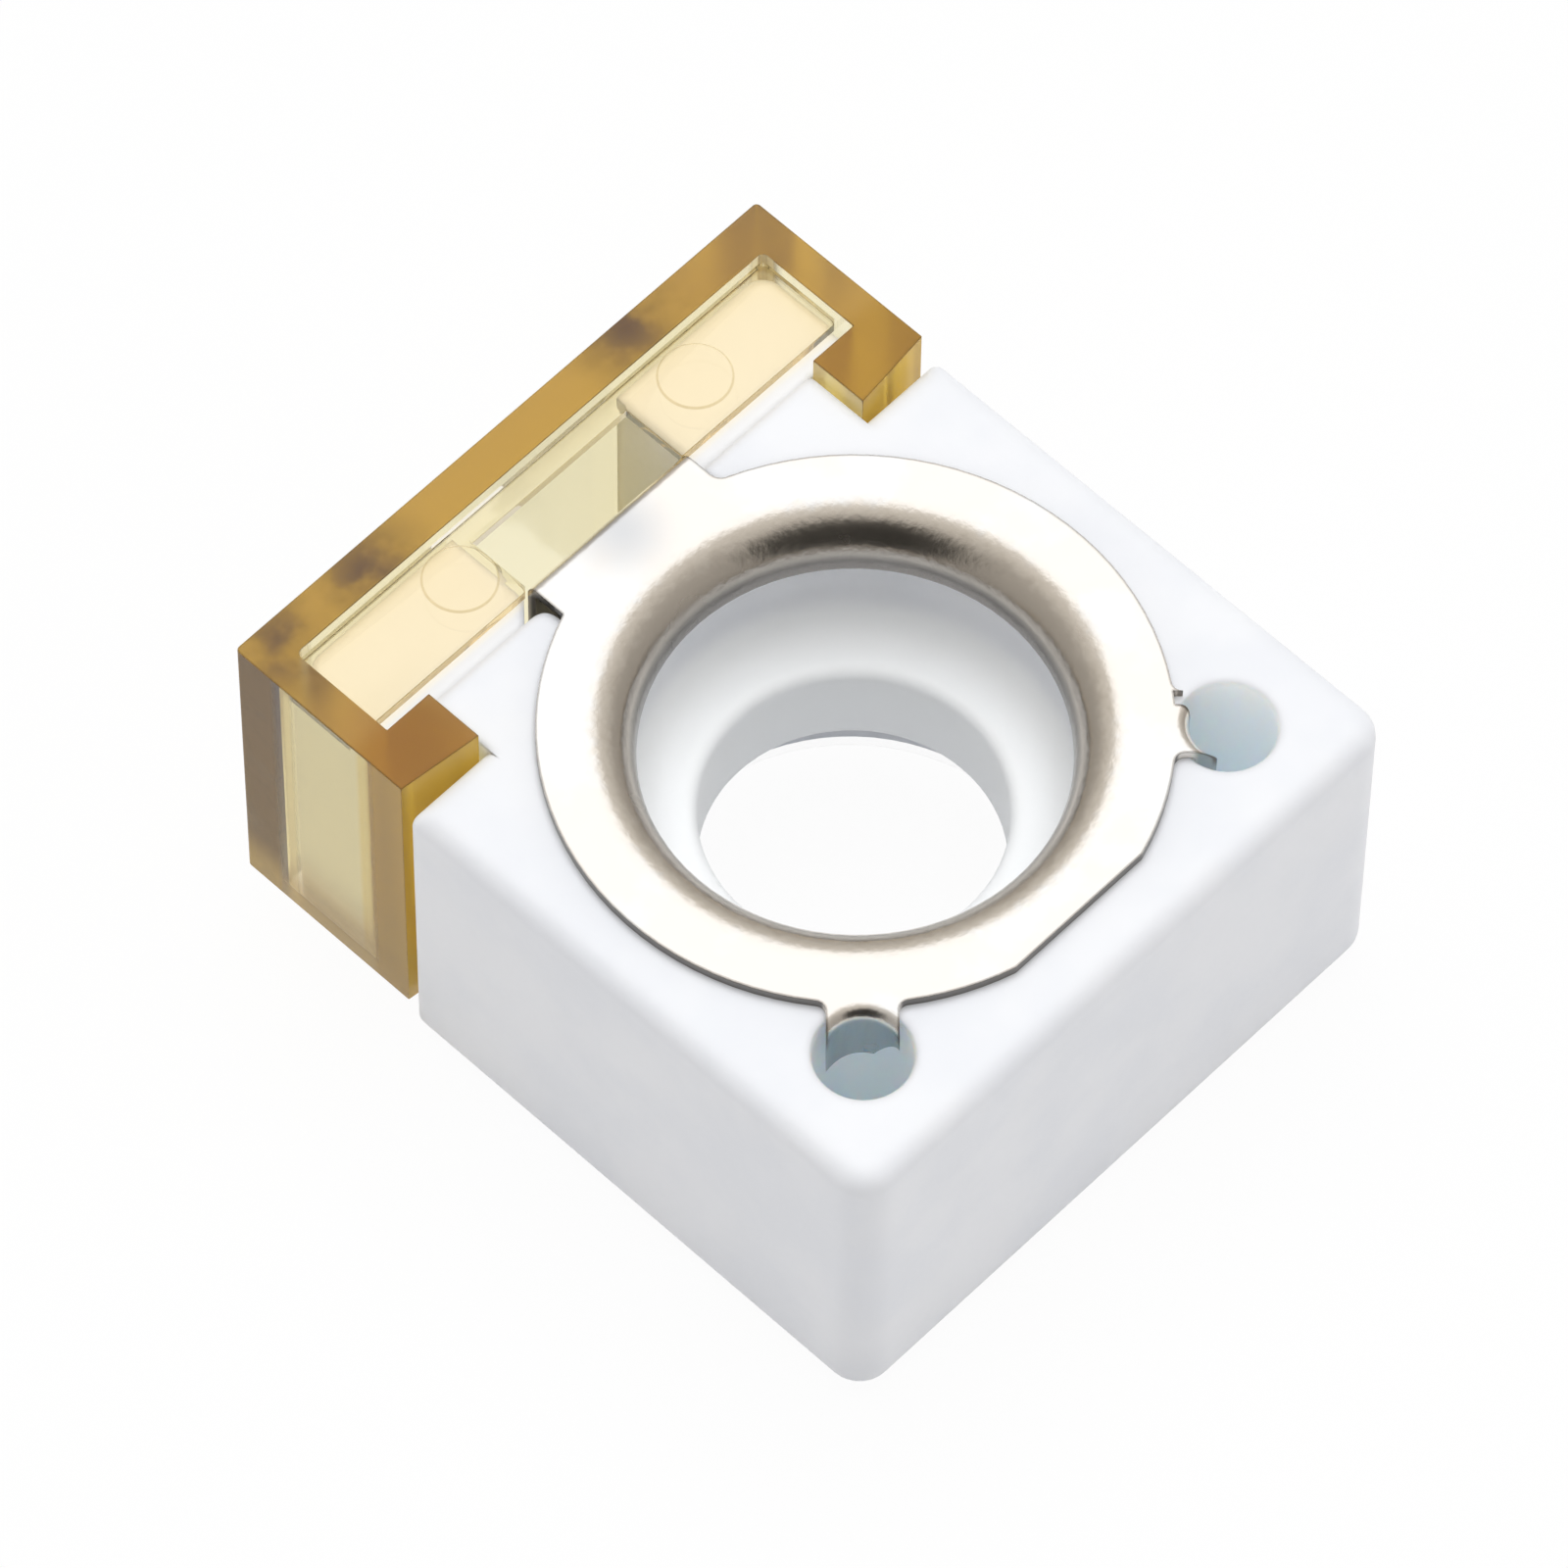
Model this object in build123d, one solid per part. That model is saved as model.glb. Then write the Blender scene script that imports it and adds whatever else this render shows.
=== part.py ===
from build123d import *
import math
import os

# Stud-mounted battery fuse: a ceramic block with a sheet metal fuse strip folded
# round it, and a transparent window that slides over the head of the block.
#
# Frame, in millimetres: the origin is the centre of the stud hole, and Z is its axis,
# pointing up. The window faces -Y. Block and strip are symmetric about Z = 0.

# Stud hole
STUD_HOLE_RADIUS = 4.2
STUD_HOLE_LENGTH = 3.2
STUD_HOLE_ROUND = 0.35

# Fuse strip
SHEET = 0.3
RING_RADIUS = 8.5
LIP_RADIUS = 5.82
LIP_ROLL = 1.45
LIP_DROP = 1.5
TRIM_DEPTH = 0.35
TAB_WIDTH = 5.9
TAB_STAND = 0.55
TAB_CORNER = 0.4
BEND_INNER = 0.1
LINK_WIDTH = 2.2
LINK_LENGTH = 4.2
LINK_SHOULDER = 0.8
LINK_SLOT_WIDTH = 0.8
LINK_SLOT_LENGTH = 1.5
PRONG_WIDTH = 1.92
PRONG_DROP = 2.0
PRONG_CUT_WIDTH = 0.65
PRONG_CUT_HEIGHT = 1.3
SHORT_PRONG_DROP = 1.4
SHORT_PRONG_CUT_WIDTH = 1.6
SHORT_PRONG_CUT_HEIGHT = 1.9
PRONG_BEND = 0.08
PRONG_CORNER = 0.25
PRONG_ROOT = 0.3
PRONG_PLAY = 0.05
PRONG_AZIMUTH = 45.0

# Ceramic block
BODY_WIDTH = 20.2
BODY_HEIGHT = 11.1
BODY_FRONT = 10.05
BODY_CORNER = 1.0
BODY_EDGE = 0.6
LIP_PLAY = 0.15
RECESS_ROUND = 1.3
PRONG_HOLE_RADIUS = 1.355
PRONG_HOLE_RIM = 0.1

# Side grooves and the head that the window slides on
GROOVE_START = 6.68
GROOVE_WIDTH = 2.07
GROOVE_CORNER = 0.25
NECK_EDGE = 0.38
HEAD_LEDGE = 1.6
HEAD_LENGTH = 3.2
HEAD_CORNER = 0.6
SHOULDER_DROP = 0.4

# Opening through neck and head that the fusible link stands in
SLOT_PLAY = 0.05
SLOT_DEPTH = 1.0
SLOT_CORNER = 0.25
SLOT_ROUND = 0.65
CHAMBER_PLAY = 0.2

# Window
COVER_HEIGHT = 11.1
WINDOW_WALL = 1.25
LEG_WALL = 1.05
LEG_INSET = 0.15
WINDOW_PLAY = 0.1
HOOK_PLAY = 0.13
HOOK_SLANT = 0.3
COVER_CORNER = 0.15
WEB_THICKNESS = 0.6
WEB_REACH = 2.7
RIM_STAND = 0.42
NOTCH_PLAY = 0.05
NOTCH_DEPTH = 2.1
MARK_RADIUS = 1.03
MARK_HEIGHT = 0.05
MARK_INSET = 1.3
MARK_LEFT = 4.05
MARK_RIGHT = 4.95

# Heights above the middle of the fuse
BODY_TOP = BODY_HEIGHT / 2
STRIP_TOP = BODY_TOP + SHEET
SHOULDER = BODY_TOP - SHOULDER_DROP
WEB_TOP = SHOULDER + WEB_THICKNESS
COVER_TOP = WEB_TOP + RIM_STAND
COVER_BASE = COVER_TOP - COVER_HEIGHT

# Distances from the stud axis towards the window
HEAD_START = GROOVE_START + GROOVE_WIDTH
HEAD_END = HEAD_START + HEAD_LENGTH
TAB_REACH = HEAD_START + TAB_STAND
COVER_INNER = HEAD_END + WINDOW_PLAY
COVER_OUTER = COVER_INNER + WINDOW_WALL
COVER_REAR = HEAD_START - WINDOW_PLAY

# Half widths of the window, nearly flush with the block, and of the head and neck in it
LEG_OUTER = BODY_WIDTH / 2 - LEG_INSET
LEG_INNER = LEG_OUTER - LEG_WALL
HEAD_HALF = LEG_INNER - WINDOW_PLAY
NECK_HALF = HEAD_HALF - HEAD_LEDGE
HOOK_TIP = NECK_HALF + HOOK_PLAY

# Half widths of the tab and of the openings that it passes or stands in
TAB_HALF = TAB_WIDTH / 2
SLOT_HALF = TAB_HALF + SLOT_PLAY
CHAMBER_HALF = TAB_HALF + CHAMBER_PLAY
NOTCH_HALF = TAB_HALF + NOTCH_PLAY

# Sizes that the lip and the prongs give to the block
RECESS_RADIUS = LIP_RADIUS + SHEET + LIP_PLAY
RECESS_RIM = LIP_ROLL - SHEET
PRONG_HOLE_PITCH = RING_RADIUS + PRONG_HOLE_RADIUS

# Overlap of solids that are joined into one, how far cuts run past a face, and how
# closely a corner lies on the line that it is picked by
JOIN = 0.5
PAST = 1.0
PICK = 0.001


def polar(radius, degrees):
    """Point in plan at a distance from the stud axis, turned from the +Y direction."""
    angle = math.radians(degrees)
    return (radius * math.sin(angle), radius * math.cos(angle))


def prism(sketch, low, high):
    """Plan sketch carried from one height to another."""
    return extrude(Pos(0, 0, low) * sketch, amount=high - low)


def plan_box(half_width, near, far):
    """Rectangle about X = 0 between two distances towards the window."""
    return Pos(0, -(near + far) / 2) * Rectangle(2 * half_width, far - near)


def corners_at(sketch, y):
    """Corners of a sketch that lie on a line of constant Y."""
    return [v for v in sketch.vertices() if abs(v.Y - y) < PICK]


def both_faces(solid):
    """A solid together with its mirror image on the other face of the fuse."""
    return solid + mirror(solid, about=Plane.XY)


# Ceramic block

def main_block():
    """Rounded block in front of the side grooves."""
    depth = BODY_FRONT + GROOVE_START
    plan = Pos(0, (BODY_FRONT - GROOVE_START) / 2) * Rectangle(BODY_WIDTH, depth)
    plan = fillet(corners_at(plan, BODY_FRONT), BODY_CORNER)
    plan = fillet(corners_at(plan, -GROOVE_START), GROOVE_CORNER)
    block = prism(plan, -BODY_TOP, BODY_TOP)
    ends = block.faces().sort_by(Axis.Z)
    return fillet(ends[0].edges() + ends[-1].edges(), BODY_EDGE)


def neck():
    """Narrow part between the grooves, level with the contact faces."""
    plan = plan_box(NECK_HALF, GROOVE_START - BODY_EDGE - JOIN, HEAD_START)
    block = prism(plan, -BODY_TOP, BODY_TOP)
    rear = block.faces().sort_by(Axis.Y)[0].edges().filter_by(Axis.X)
    return fillet(rear, NECK_EDGE)


def head():
    """Wide part behind the grooves, with a root in the neck, lower by the shoulder."""
    plan = plan_box(HEAD_HALF, HEAD_START, HEAD_END)
    plan = fillet(corners_at(plan, -HEAD_END), HEAD_CORNER)
    root = plan_box(NECK_HALF, HEAD_START - JOIN, HEAD_START + JOIN)
    return prism(plan + root, -SHOULDER, SHOULDER)


def stud_passage():
    """Stud hole at mid-height with a round-bottomed recess above and below it."""
    shelf = STUD_HOLE_LENGTH / 2
    wall_foot = (RECESS_RADIUS, shelf + RECESS_ROUND)
    shelf_end = (RECESS_RADIUS - RECESS_ROUND, shelf)
    hole_mouth = (STUD_HOLE_RADIUS + STUD_HOLE_ROUND, shelf)
    hole_top = (STUD_HOLE_RADIUS, shelf - STUD_HOLE_ROUND)
    rim_out = (RECESS_RADIUS + RECESS_RIM, BODY_TOP)
    rim_in = (RECESS_RADIUS, BODY_TOP - RECESS_RIM)
    outline = (
        Line((0, 0), (0, BODY_TOP))
        + Line((0, BODY_TOP), rim_out)
        + RadiusArc(rim_out, rim_in, -RECESS_RIM)
        + Line(rim_in, wall_foot)
        + RadiusArc(wall_foot, shelf_end, RECESS_ROUND)
        + Line(shelf_end, hole_mouth)
        + RadiusArc(hole_mouth, hole_top, -STUD_HOLE_ROUND)
        + Line(hole_top, (STUD_HOLE_RADIUS, 0))
        + Line((STUD_HOLE_RADIUS, 0), (0, 0))
    )
    return both_faces(revolve(Plane.XZ * make_face(outline), Axis.Z))


def prong_holes():
    """Two through holes with rounded mouths that take the prongs of both rings."""
    rim_out = (PRONG_HOLE_RADIUS + PRONG_HOLE_RIM, BODY_TOP)
    rim_in = (PRONG_HOLE_RADIUS, BODY_TOP - PRONG_HOLE_RIM)
    outline = (
        Line((0, 0), (0, BODY_TOP))
        + Line((0, BODY_TOP), rim_out)
        + RadiusArc(rim_out, rim_in, -PRONG_HOLE_RIM)
        + Line(rim_in, (PRONG_HOLE_RADIUS, 0))
        + Line((PRONG_HOLE_RADIUS, 0), (0, 0))
    )
    hole = both_faces(revolve(Plane.XZ * make_face(outline), Axis.Z))
    places = [polar(PRONG_HOLE_PITCH, side * PRONG_AZIMUTH) for side in (-1, 1)]
    return [Pos(x, y, 0) * hole for x, y in places]


def slot_relief():
    """Corner of the slot that is rounded away from the strap's sharp corner, in plan."""
    start = (SLOT_HALF, SLOT_ROUND - HEAD_START)
    side = (SLOT_HALF + SLOT_ROUND, -HEAD_START)
    end = (SLOT_HALF, -HEAD_START - SLOT_ROUND)
    outline = RadiusArc(start, side, -SLOT_ROUND) + Line(side, end) + Line(end, start)
    return make_face(outline)


def link_opening():
    """Slot for the strap through neck and head, and the wider chamber behind it."""
    slot_start = HEAD_START - SLOT_DEPTH
    chamber_start = HEAD_START + SLOT_ROUND
    slot = plan_box(SLOT_HALF, slot_start, chamber_start)
    plan = fillet(corners_at(slot, -slot_start), SLOT_CORNER) + slot_relief()
    plan += plan_box(CHAMBER_HALF, chamber_start, HEAD_END + PAST)
    return prism(plan, -BODY_TOP - PAST, BODY_TOP + PAST)


def ceramic_body():
    block = main_block() + neck() + head()
    block -= stud_passage()
    for hole in prong_holes():
        block -= hole
    return block - link_opening()


# Fuse strip

def ring():
    """Contact ring with its inner rim rolled down into a lip, trimmed at the front."""
    roll_start = LIP_RADIUS + LIP_ROLL
    lip_outer = LIP_RADIUS + SHEET
    lip_end = STRIP_TOP - LIP_DROP
    roll_foot = STRIP_TOP - LIP_ROLL
    outline = (
        Line((RING_RADIUS, STRIP_TOP), (roll_start, STRIP_TOP))
        + RadiusArc((roll_start, STRIP_TOP), (LIP_RADIUS, roll_foot), -LIP_ROLL)
        + Line((LIP_RADIUS, roll_foot), (LIP_RADIUS, lip_end))
        + Line((LIP_RADIUS, lip_end), (lip_outer, lip_end))
        + Line((lip_outer, lip_end), (lip_outer, roll_foot))
        + RadiusArc((lip_outer, roll_foot), (roll_start, BODY_TOP), LIP_ROLL - SHEET)
        + Line((roll_start, BODY_TOP), (RING_RADIUS, BODY_TOP))
        + Line((RING_RADIUS, BODY_TOP), (RING_RADIUS, STRIP_TOP))
    )
    trim = Pos(0, RING_RADIUS - TRIM_DEPTH + PAST, STRIP_TOP) * Box(RING_RADIUS, 2 * PAST, 2 * PAST)
    return revolve(Plane.XZ * make_face(outline), Axis.Z) - trim


def root(half_width, radius):
    """Rounded inner corner between the ring's edge and the +X side of a tab along +Y."""
    across = half_width + radius
    centre = Vector(across, math.sqrt((RING_RADIUS + radius) ** 2 - across ** 2))
    meeting = math.sqrt(RING_RADIUS ** 2 - half_width ** 2)
    inside_ring = centre.normalized() * (RING_RADIUS - radius)
    outline = Polyline(
        (half_width, centre.Y), centre, inside_ring, (half_width, meeting - radius), close=True
    )
    plan = make_face(outline) - Pos(centre) * Circle(radius)
    return prism(plan, BODY_TOP, STRIP_TOP)


def prong_front(drop, cut_width, cut_height):
    """Front view of a tongue: one lower corner is rounded, the other cut at a slant."""
    half = PRONG_WIDTH / 2
    foot = STRIP_TOP - drop
    outline = Polyline(
        (half, foot),
        (half, STRIP_TOP + drop),
        (-half, STRIP_TOP + drop),
        (-half, foot + cut_height),
        (cut_width - half, foot),
        close=True,
    )
    front = make_face(outline)
    corner = front.vertices().sort_by(Axis.Y)[:2].sort_by(Axis.X)[-1]
    return fillet(corner, PRONG_CORNER)


def prong(side, drop, cut_width, cut_height):
    """Tongue on the ring's edge, curved to its hole and pressed down along the wall."""
    wall_outer = PRONG_HOLE_RADIUS - PRONG_PLAY
    wall_inner = wall_outer - SHEET
    bend_start = wall_outer + PRONG_BEND
    flat_end = bend_start + JOIN
    bend_foot = BODY_TOP - PRONG_BEND
    foot = STRIP_TOP - drop
    outline = (
        Line((flat_end, STRIP_TOP), (bend_start, STRIP_TOP))
        + RadiusArc((bend_start, STRIP_TOP), (wall_inner, bend_foot), -(PRONG_BEND + SHEET))
        + Line((wall_inner, bend_foot), (wall_inner, foot))
        + Line((wall_inner, foot), (wall_outer, foot))
        + Line((wall_outer, foot), (wall_outer, bend_foot))
        + RadiusArc((wall_outer, bend_foot), (bend_start, BODY_TOP), PRONG_BEND)
        + Line((bend_start, BODY_TOP), (flat_end, BODY_TOP))
        + Line((flat_end, BODY_TOP), (flat_end, STRIP_TOP))
    )
    collar = revolve(Plane.XZ * make_face(outline), Axis.Z)
    front = prong_front(drop, cut_width, cut_height)
    tongue = Pos(0, PRONG_HOLE_PITCH, 0) * (collar & extrude(Plane.XZ * front, amount=flat_end))
    corner = root(PRONG_WIDTH / 2, PRONG_ROOT)
    tongue += corner + mirror(corner, about=Plane.YZ)
    return Rot(0, 0, -side * PRONG_AZIMUTH) * tongue


def strap():
    """Band that leaves both rings as tabs and runs down past the window."""
    inner_end = LIP_RADIUS + LIP_ROLL + SHEET
    middle = -(TAB_REACH + inner_end) / 2
    depth = TAB_REACH - inner_end
    outer = Pos(middle, 0) * Rectangle(depth, 2 * STRIP_TOP)
    inner = Pos(middle + SHEET, 0) * Rectangle(depth, 2 * BODY_TOP)
    outer = fillet(outer.vertices().group_by(Axis.X)[0], BEND_INNER + SHEET)
    inner = fillet(inner.vertices().group_by(Axis.X)[0], BEND_INNER)
    return extrude(Plane.YZ * (outer - inner), amount=TAB_HALF, both=True)


def link_cuts():
    """Cuts that narrow the band to the fusible link, seen along Y."""
    width = TAB_WIDTH - LINK_WIDTH
    notch = SlotOverall(LINK_LENGTH + 2 * LINK_SHOULDER, width, rotation=90)
    slot = SlotOverall(LINK_SLOT_LENGTH, LINK_SLOT_WIDTH, rotation=90)
    cuts = Pos(TAB_HALF, 0) * notch + Pos(-TAB_HALF, 0) * notch + slot
    return extrude(Plane.XZ.offset(TAB_REACH - JOIN) * cuts, amount=2 * JOIN)


def fuse_strip():
    long = prong(1, PRONG_DROP, PRONG_CUT_WIDTH, PRONG_CUT_HEIGHT)
    short = prong(-1, SHORT_PRONG_DROP, SHORT_PRONG_CUT_WIDTH, SHORT_PRONG_CUT_HEIGHT)
    tab_corner = Rot(0, 0, 180) * root(TAB_HALF, TAB_CORNER)
    face = ring() + long + short + tab_corner
    return both_faces(face) + (strap() - link_cuts())


# Window

def hook(side):
    """Inward hook at the end of a leg, with a slanted front face, in plan."""
    tip_front = GROOVE_START + WINDOW_PLAY
    outline = Polyline(
        (side * HOOK_TIP, -COVER_REAR),
        (side * HOOK_TIP, -tip_front),
        (side * LEG_OUTER, -tip_front - HOOK_SLANT),
        (side * LEG_OUTER, -COVER_REAR),
        close=True,
    )
    return make_face(outline)


def cover_plan():
    """C-shaped section of the window, open towards the block."""
    outer = plan_box(LEG_OUTER, COVER_REAR, COVER_OUTER)
    outer = fillet(corners_at(outer, -COVER_OUTER), COVER_CORNER)
    inner = plan_box(LEG_INNER, COVER_REAR - PAST, COVER_INNER)
    inner = fillet(corners_at(inner, -COVER_INNER), HEAD_CORNER)
    return outer - inner + hook(-1) + hook(1)


def web():
    """Thin plate across the top that rests on the shoulder, notched for the strap."""
    front = COVER_INNER - WEB_REACH
    plan = plan_box(LEG_INNER + LEG_WALL / 2, front, COVER_INNER + WINDOW_WALL / 2)
    plan -= plan_box(NOTCH_HALF, front - PAST, front + NOTCH_DEPTH)
    plate = prism(plan, SHOULDER, WEB_TOP)
    for x in (MARK_LEFT, -MARK_RIGHT):
        mark = Pos(x, MARK_INSET - COVER_INNER) * Circle(MARK_RADIUS)
        plate += prism(mark, WEB_TOP - WEB_THICKNESS / 2, WEB_TOP + MARK_HEIGHT)
    return plate


def window_cover():
    return prism(cover_plan(), COVER_BASE, COVER_TOP) + web()


NODES = {
    "ceramic_body": ceramic_body,
    "fuse_strip": fuse_strip,
    "window_cover": window_cover,
}

os.makedirs("parts", exist_ok=True)
for name, make in NODES.items():
    export_step(make(), "parts/" + name + ".step")
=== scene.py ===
import math
import bmesh
import bpy
from mathutils import Matrix, Vector


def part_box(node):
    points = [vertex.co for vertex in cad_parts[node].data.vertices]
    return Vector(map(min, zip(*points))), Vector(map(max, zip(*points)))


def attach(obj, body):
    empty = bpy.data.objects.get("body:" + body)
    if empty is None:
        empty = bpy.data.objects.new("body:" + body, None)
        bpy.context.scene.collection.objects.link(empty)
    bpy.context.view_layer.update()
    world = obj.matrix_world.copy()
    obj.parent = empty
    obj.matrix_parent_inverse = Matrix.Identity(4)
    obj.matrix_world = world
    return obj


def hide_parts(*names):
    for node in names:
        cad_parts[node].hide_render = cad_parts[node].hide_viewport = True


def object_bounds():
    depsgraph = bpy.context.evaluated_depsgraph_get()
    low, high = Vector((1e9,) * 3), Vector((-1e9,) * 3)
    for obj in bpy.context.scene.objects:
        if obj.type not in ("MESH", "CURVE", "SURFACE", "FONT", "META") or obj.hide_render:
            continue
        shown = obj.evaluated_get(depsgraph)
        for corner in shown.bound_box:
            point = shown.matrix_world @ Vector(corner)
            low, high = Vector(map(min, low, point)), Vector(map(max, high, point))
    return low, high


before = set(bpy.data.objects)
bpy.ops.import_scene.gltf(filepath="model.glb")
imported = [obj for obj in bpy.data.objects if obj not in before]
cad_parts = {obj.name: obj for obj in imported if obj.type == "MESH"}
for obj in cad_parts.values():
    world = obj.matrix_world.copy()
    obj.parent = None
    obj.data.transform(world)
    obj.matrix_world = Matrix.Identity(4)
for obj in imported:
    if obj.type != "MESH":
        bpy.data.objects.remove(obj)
cad_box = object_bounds()

# Battery fuse: ceramic block, folded tinned strip and amber window. All lengths are
# metres in the frame of the solids: Z is the stud axis and the window faces -Y.

MM = 0.001
UP = (0.0, 0.0, 1.0)
ALONG_X = (1.0, 0.0, 0.0)
ALONG_Y = (0.0, 1.0, 0.0)
CENTRE = (0.0, 0.0)
WHITE = (1.0, 1.0, 1.0, 1.0)
HALF_TURN = 180.0

# Camera: a long lens that looks down on one corner of the fuse
CAMERA_AZIMUTH = 133.368
CAMERA_ELEVATION = 59.023
CAMERA_ROLL = 0.757
CAMERA_DISTANCE = 335.301 * MM
CAMERA_TARGET = Vector((2.508, -0.218, 5.55)) * MM
CAMERA_NEAR = 10.0 * MM
LENS = 291.08
SENSOR = 36.0

# Lamps, seen from the fuse (azimuth, elevation, size, power): the key above and behind it,
# a weak fill on the camera's side and a low lamp on either side
LAMP_DISTANCE = 0.5
LAMPS = {
    "key": (313.0, 78.0, 0.5, 1.44),
    "fill": (140.0, 50.0, 0.25, 0.3),
    "left_side": (203.0, 12.0, 0.25, 0.36),
    "right_side": (67.0, 12.0, 0.25, 0.33),
}

# Surroundings: strength from the horizon to overhead, a bright patch opposite the camera with
# a skirt round it, and a dark patch low by the camera. A reach is two cosines from its middle.
SKY_STRENGTH = (0.32, 0.42)
SKY_COLOUR = (1.0, 0.96, 0.90, 1.0)
GLOW_STRENGTH = 0.64
GLOW_REACH = (0.86, 0.965)
GLOW_COLOUR = (0.94, 1.0, 1.08, 1.0)
SKIRT_STRENGTH = 0.16
SKIRT_REACH = (0.45, 0.86)
DARK_ELEVATION = 28.0
DARK_REACH = (0.70, 0.88)
DARK_SHARE = 0.08

# Floor: matt paper under a share of plain white, which leaves a soft shadow of the fuse
FLOOR_HALF = 3.0
FLOOR_COLOUR = (0.86, 0.86, 0.87, 1.0)
WHITE_SHARE = 0.95

# Window: C-shaped shell that slides over the head, and the web across its top
LEG_WALL = 1.05 * MM
FRONT_WALL = 1.25 * MM
HOOK_LENGTH = 1.87 * MM
HOOK_SLANT = 0.3 * MM
HOOK_THICKNESS = 1.57 * MM
INNER_CORNER = 0.2 * MM
OUTER_CORNER = 0.15 * MM
RIM_STAND = 0.42 * MM
WEB_THICKNESS = 0.6 * MM
WEB_REACH = 2.7 * MM
WEB_GAP = 0.003 * MM
NOTCH_HALF = 3.0 * MM
NOTCH_DEPTH = 2.1 * MM
MARK_RADIUS = 1.03 * MM
MARK_HEIGHT = 0.05 * MM
MARK_INSET = 1.3 * MM
MARK_PLACES = (4.05 * MM, -4.95 * MM)
CORNER_STEPS = 8
MARK_STEPS = 64
EDGE_BREAK = 0.03 * MM
BREAK_SEGMENTS = 2
BREAK_PROFILE = 0.5
SHARP = math.radians(25.0)

# Faces of the window that its shape and its finishes follow
WINDOW_LOW, WINDOW_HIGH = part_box("window_cover")
LEG_INNER = WINDOW_HIGH.x - LEG_WALL
WALL_INNER = WINDOW_LOW.y + FRONT_WALL
HOOK_START = WINDOW_HIGH.y - HOOK_LENGTH
HOOK_TIP = LEG_INNER - HOOK_THICKNESS
WEB_TOP = WINDOW_HIGH.z - RIM_STAND
WEB_END = WALL_INNER + WEB_REACH

# Places that the finishes of block and strip follow: prong holes, recess, shoulder, strap, lip
HOLE_PLACE = 6.97 * MM
HOLE_RADIUS = 1.355 * MM
RECESS_RADIUS = 5.9 * MM
SHOULDER_START = -9.1 * MM
STRAP_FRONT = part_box("fuse_strip")[0].y
LIP_START = 7.25 * MM

# In all finishes a noise is its scale and detail, a bump its strength and depth, and a fade
# the two distances from a place between which a mask comes or goes
NOISE_SPREAD = (0.3, 0.7)
NOISE_MIDDLE = 0.5
EDGE_SAMPLES = 6

# How far a face is turned towards a direction: the cosines between which a mask comes or goes
FACING = (0.5, 0.9)
STEEP = (0.1, 0.7)

# Ceramic: cool white, with light that soaks through the block into the prong holes, and painted light:
# lighter, bluer tones in the holes and the recess, and a lighter shoulder under the web
CERAMIC_DIM = (0.83, 0.85, 0.895, 1.0)
CERAMIC_BRIGHT = (0.87, 0.885, 0.92, 1.0)
CERAMIC_HOLE_PAINTED_LIGHT = (0.88, 0.985, 1.0, 1.0)
CERAMIC_SHOULDER_PAINTED_LIGHT = (0.90, 0.895, 0.88, 1.0)
CERAMIC_RECESS_PAINTED_LIGHT = (0.965, 0.985, 1.0, 1.0)
CERAMIC_CLOUD = (260.0, 3.0)
CERAMIC_CLOUD_SPREAD = (0.35, 0.65)
CERAMIC_GRAIN = (5200.0, 3.0)
CERAMIC_GRAIN_BUMP = (0.1, 0.02 * MM)
CERAMIC_SWELL = (700.0, 2.0)
CERAMIC_SWELL_BUMP = (0.06, 0.2 * MM)
CERAMIC_ROUGHNESS = (0.36, 0.5)
CERAMIC_IOR = 1.5
CERAMIC_EDGE = 0.45 * MM
SOAK_RADII = (0.7, 1.05, 1.7)
SOAK_DEPTH = 12.0 * MM
HOLE_WALL_FADE = (0.01 * HOLE_RADIUS, 0.06 * HOLE_RADIUS)
SHOULDER_FADE = (-0.2 * MM, 0.0)
RECESS_FADE = (0.0, 0.35 * MM)

# Tinned sheet: clouds, a grey patch on the tab, the lip's wear and painted shade, dark cut faces with
# painted shade on the lip's wall, prongs with painted shade, the lower half painted lighter, and fine
# edges
TIN_WARM = (0.95, 0.88, 0.80, 1.0)
TIN_PALE = (0.96, 0.93, 0.89, 1.0)
TIN_TAB_GREY = (0.70, 0.69, 0.68, 1.0)
# Lip coats: wear, together with painted shade where the lip rolls down
TIN_LIP_WEAR_AND_SHADE = (0.96, 0.89, 0.80, 1.0)
TIN_DEEP_LIP_WEAR_AND_SHADE = (0.86, 0.79, 0.70, 1.0)
TIN_CUT_FACE_AND_SHADE = (0.24, 0.23, 0.22, 1.0)
TIN_PRONG_PAINTED_SHADE = (0.42, 0.46, 0.47, 1.0)
TIN_EDGE = (0.13, 0.11, 0.09, 1.0)
TIN_CLOUD = (330.0, 4.0)
TIN_CLOUD_SPREAD = (0.42, 0.6)
TIN_GRAIN = (4200.0, 3.0)
TIN_GRAIN_BUMP = (0.1, 0.01 * MM)
TIN_DENTS = (4500.0, 3.0)
TIN_DENT_BUMP = (0.5, 0.02 * MM)
TIN_ROUGHNESS = (0.2, 0.28)
TAB_GREY_PLACE = (0.0, -8.7 * MM)
TAB_GREY_FADE = (0.0, 2.0 * MM)
LIP_FADE = (-0.45 * MM, 0.0)
DEEP_LIP_FADE = (-0.9 * MM, -0.5 * MM)
LIP_WANDER = (2600.0, 4.0)
LIP_WANDER_WIDTH = 0.9 * MM
WALL_FADE = (0.0, 1.0 * MM)
WALL_STRAP_FADE = (0.0, 0.2 * MM)
WALL_HOLE_FADE = (0.2 * HOLE_RADIUS, 0.3 * HOLE_RADIUS)
PRONG_FADE = (-0.1 * HOLE_RADIUS, 0.0)
LOWER_HALF_FADE = (-1.0 * MM, 0.0)
TIN_EDGE_WIDTH = 0.14 * MM
TIN_EDGE_TURN = (0.86, 0.995)
TIN_EDGE_SHARE = 0.85
TIN_EDGE_FADE = (5.0 * MM, 5.5 * MM)

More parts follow.
